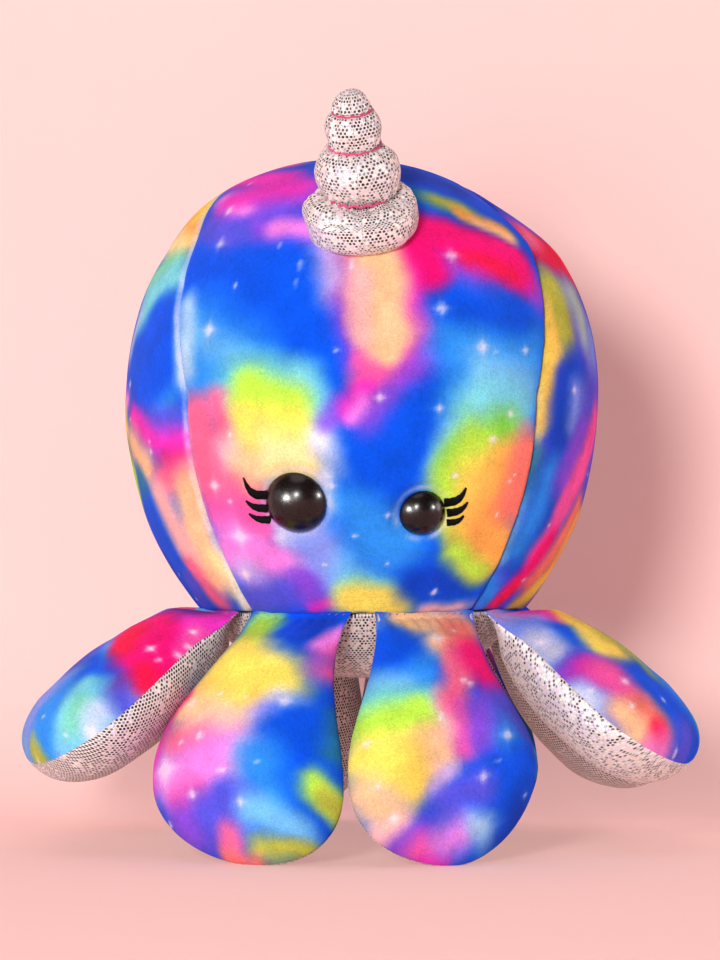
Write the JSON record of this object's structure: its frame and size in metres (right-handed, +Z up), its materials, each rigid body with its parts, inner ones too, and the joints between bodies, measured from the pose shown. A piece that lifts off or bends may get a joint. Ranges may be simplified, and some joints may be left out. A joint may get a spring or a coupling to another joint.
{
  "type": "plush octopus toy",
  "caption": "Stuffed plush octopus with stubby padded arms, safety eyes and a soft tied horn; stands on its arm tips.",
  "frame": {"origin": "on the table under the middle of the toy, on the head's upright axis", "axes": "+Z up through the head, -Y out of the face, +X to the right as seen from the front"},
  "size_m": [0.2752, 0.2226, 0.2996],
  "materials": {
    "printed_plush": "short pile, tie-dye print",
    "dotted_foil_fabric": "knit with small foil dots",
    "polyester_filling": "loose fibre",
    "eye_plastic": "gloss",
    "washer_plastic": "matte",
    "lash_cloth": "satin stitch",
    "pink_thread": "twisted thread",
    "seam_thread": "twisted thread"
  },
  "bodies": {
    "head": {"head_front_panel": "printed_plush", "head_left_panel": "printed_plush", "head_right_panel": "printed_plush", "head_back_panel": "printed_plush", "base_panel": "dotted_foil_fabric", "head_stuffing": "polyester_filling", "arm_root_stitches": "seam_thread", "left_eye": "eye_plastic", "right_eye": "eye_plastic", "left_eye_washer": "washer_plastic", "right_eye_washer": "washer_plastic", "left_lashes": "lash_cloth", "right_lashes": "lash_cloth", "horn_base_cover": "dotted_foil_fabric", "horn_base_stuffing": "polyester_filling"},
    "horn": {"horn_cover": "dotted_foil_fabric", "horn_stuffing": "polyester_filling", "horn_threads": "pink_thread"},
    "front_left_arm": {"front_left_arm_top": "printed_plush", "front_left_arm_underside": "dotted_foil_fabric", "front_left_arm_stuffing": "polyester_filling"},
    "front_right_arm": {"front_right_arm_top": "printed_plush", "front_right_arm_underside": "dotted_foil_fabric", "front_right_arm_stuffing": "polyester_filling"},
    "mid_left_arm": {"mid_left_arm_top": "printed_plush", "mid_left_arm_underside": "dotted_foil_fabric", "mid_left_arm_stuffing": "polyester_filling"},
    "mid_right_arm": {"mid_right_arm_top": "printed_plush", "mid_right_arm_underside": "dotted_foil_fabric", "mid_right_arm_stuffing": "polyester_filling"},
    "aft_left_arm": {"aft_left_arm_top": "printed_plush", "aft_left_arm_underside": "dotted_foil_fabric", "aft_left_arm_stuffing": "polyester_filling"},
    "aft_right_arm": {"aft_right_arm_top": "printed_plush", "aft_right_arm_underside": "dotted_foil_fabric", "aft_right_arm_stuffing": "polyester_filling"},
    "back_left_arm": {"back_left_arm_top": "printed_plush", "back_left_arm_underside": "dotted_foil_fabric", "back_left_arm_stuffing": "polyester_filling"},
    "back_right_arm": {"back_right_arm_top": "printed_plush", "back_right_arm_underside": "dotted_foil_fabric", "back_right_arm_stuffing": "polyester_filling"}
  },
  "joints": [
    {"name": "front_left_arm_lift", "type": "hinge", "parent": "head", "child": "front_left_arm", "pos_m": [-0.02471, -0.05966, 0.0943], "axis": [-0.9239, 0.3827, 0], "range_deg": [-2, 62], "stiffness_Nm_per_rad": 0.6},
    {"name": "front_right_arm_lift", "type": "hinge", "parent": "head", "child": "front_right_arm", "pos_m": [0.02471, -0.05966, 0.0943], "axis": [-0.9239, -0.3827, 0], "range_deg": [-2, 62], "stiffness_Nm_per_rad": 0.6},
    {"name": "mid_left_arm_lift", "type": "hinge", "parent": "head", "child": "mid_left_arm", "pos_m": [-0.05966, -0.02471, 0.0943], "axis": [-0.3827, 0.9239, 0], "range_deg": [-5, 34], "stiffness_Nm_per_rad": 0.3},
    {"name": "mid_right_arm_lift", "type": "hinge", "parent": "head", "child": "mid_right_arm", "pos_m": [0.05966, -0.02471, 0.0943], "axis": [-0.3827, -0.9239, 0], "range_deg": [-5, 34], "stiffness_Nm_per_rad": 0.3},
    {"name": "aft_left_arm_lift", "type": "hinge", "parent": "head", "child": "aft_left_arm", "pos_m": [-0.05966, 0.02471, 0.0943], "axis": [0.3827, 0.9239, 0], "range_deg": [-3, 36], "stiffness_Nm_per_rad": 0.3},
    {"name": "aft_right_arm_lift", "type": "hinge", "parent": "head", "child": "aft_right_arm", "pos_m": [0.05966, 0.02471, 0.0943], "axis": [0.3827, -0.9239, 0], "range_deg": [-3, 36], "stiffness_Nm_per_rad": 0.3},
    {"name": "back_left_arm_lift", "type": "hinge", "parent": "head", "child": "back_left_arm", "pos_m": [-0.02471, 0.05966, 0.0943], "axis": [0.9239, 0.3827, 0], "range_deg": [-2, 62], "stiffness_Nm_per_rad": 0.6},
    {"name": "back_right_arm_lift", "type": "hinge", "parent": "head", "child": "back_right_arm", "pos_m": [0.02471, 0.05966, 0.0943], "axis": [0.9239, -0.3827, 0], "range_deg": [-2, 62], "stiffness_Nm_per_rad": 0.6},
    {"name": "horn_bend", "type": "hinge", "parent": "head", "child": "horn", "pos_m": [-0.001, -0.07845, 0.25956], "axis": [0.9956, 0, 0.0941], "range_deg": [-8, 10], "stiffness_Nm_per_rad": 0.05}
  ]
}
